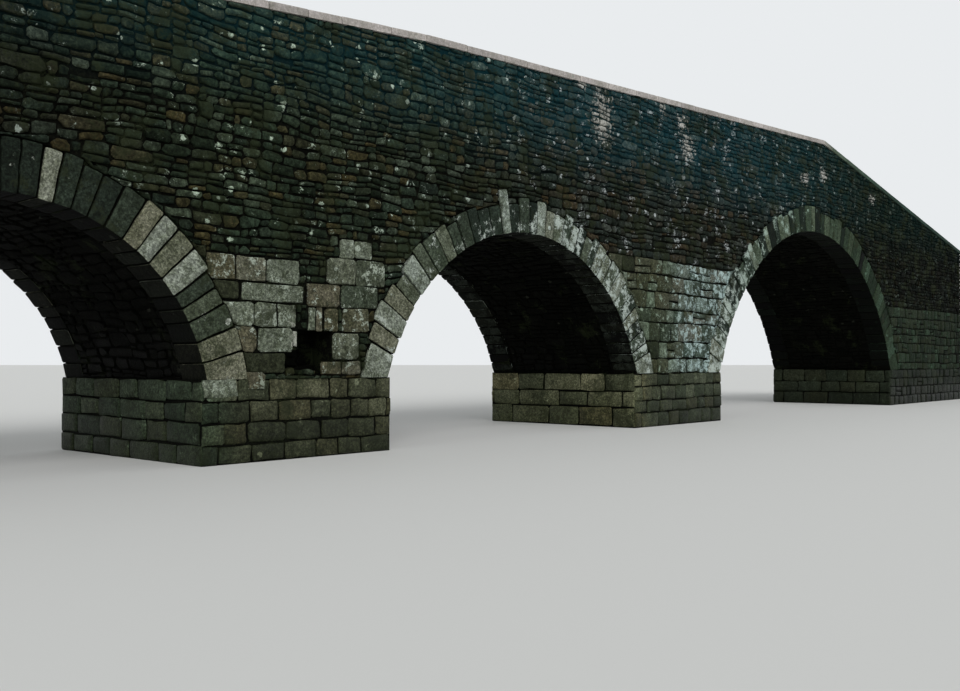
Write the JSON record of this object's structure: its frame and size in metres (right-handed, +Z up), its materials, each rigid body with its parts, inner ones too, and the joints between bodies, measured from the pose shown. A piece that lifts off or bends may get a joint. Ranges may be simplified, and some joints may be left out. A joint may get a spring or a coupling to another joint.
{
  "type": "hump-backed stone arch bridge",
  "caption": "Narrow hump-backed stone bridge on round arches of wedge stones, with rubble face walls, parapets with coping slabs and a paved road.",
  "frame": {"origin": "middle of the foot of the bridge, at the level where its piers meet the water", "axes": "+X along the bridge towards the larger arch, +Y from the front face to the back face, +Z up"},
  "size_m": [37.6, 3.55, 6.72],
  "materials": {
    "base_stone": "squared granite, damp and stained by silt",
    "pier_stone": "squared granite with moss and pale lichen",
    "ring_stone": "worn granite with open joints and lichen",
    "vault_rubble": "dark damp rubble",
    "wall_rubble": "thin flat rubble, weathered, with lichen and moss",
    "fill_rubble": "earth and small stones",
    "paving_stone": "worn paving",
    "coping_stone": "pale sawn granite slabs"
  },
  "bodies": {
    "root": {"abutment_base_left": "base_stone", "pier_base_left": "base_stone", "pier_base_right": "base_stone", "abutment_base_right": "base_stone", "abutment_left": "pier_stone", "pier_left": "pier_stone", "pier_right": "pier_stone", "abutment_right": "pier_stone", "ring_front_left": "ring_stone", "ring_front_middle": "ring_stone", "ring_front_right": "ring_stone", "ring_back_left": "ring_stone", "ring_back_middle": "ring_stone", "ring_back_right": "ring_stone", "vault_left": "vault_rubble", "vault_middle": "vault_rubble", "vault_right": "vault_rubble", "wall_front_left_end": "wall_rubble", "wall_front_left": "wall_rubble", "wall_front_right": "wall_rubble", "wall_front_right_end": "wall_rubble", "wall_back_left_end": "wall_rubble", "wall_back_left": "wall_rubble", "wall_back_right": "wall_rubble", "wall_back_right_end": "wall_rubble", "fill_left_end": "fill_rubble", "fill_left": "fill_rubble", "fill_right": "fill_rubble", "fill_right_end": "fill_rubble", "road_left": "paving_stone", "road_middle": "paving_stone", "road_right": "paving_stone", "parapet_front_left": "wall_rubble", "parapet_front_middle": "wall_rubble", "parapet_front_right": "wall_rubble", "parapet_back_left": "wall_rubble", "parapet_back_middle": "wall_rubble", "parapet_back_right": "wall_rubble", "coping_front_left": "coping_stone", "coping_front_middle": "coping_stone", "coping_front_right": "coping_stone", "coping_back_left": "coping_stone", "coping_back_middle": "coping_stone", "coping_back_right": "coping_stone"}
  },
  "joints": []
}
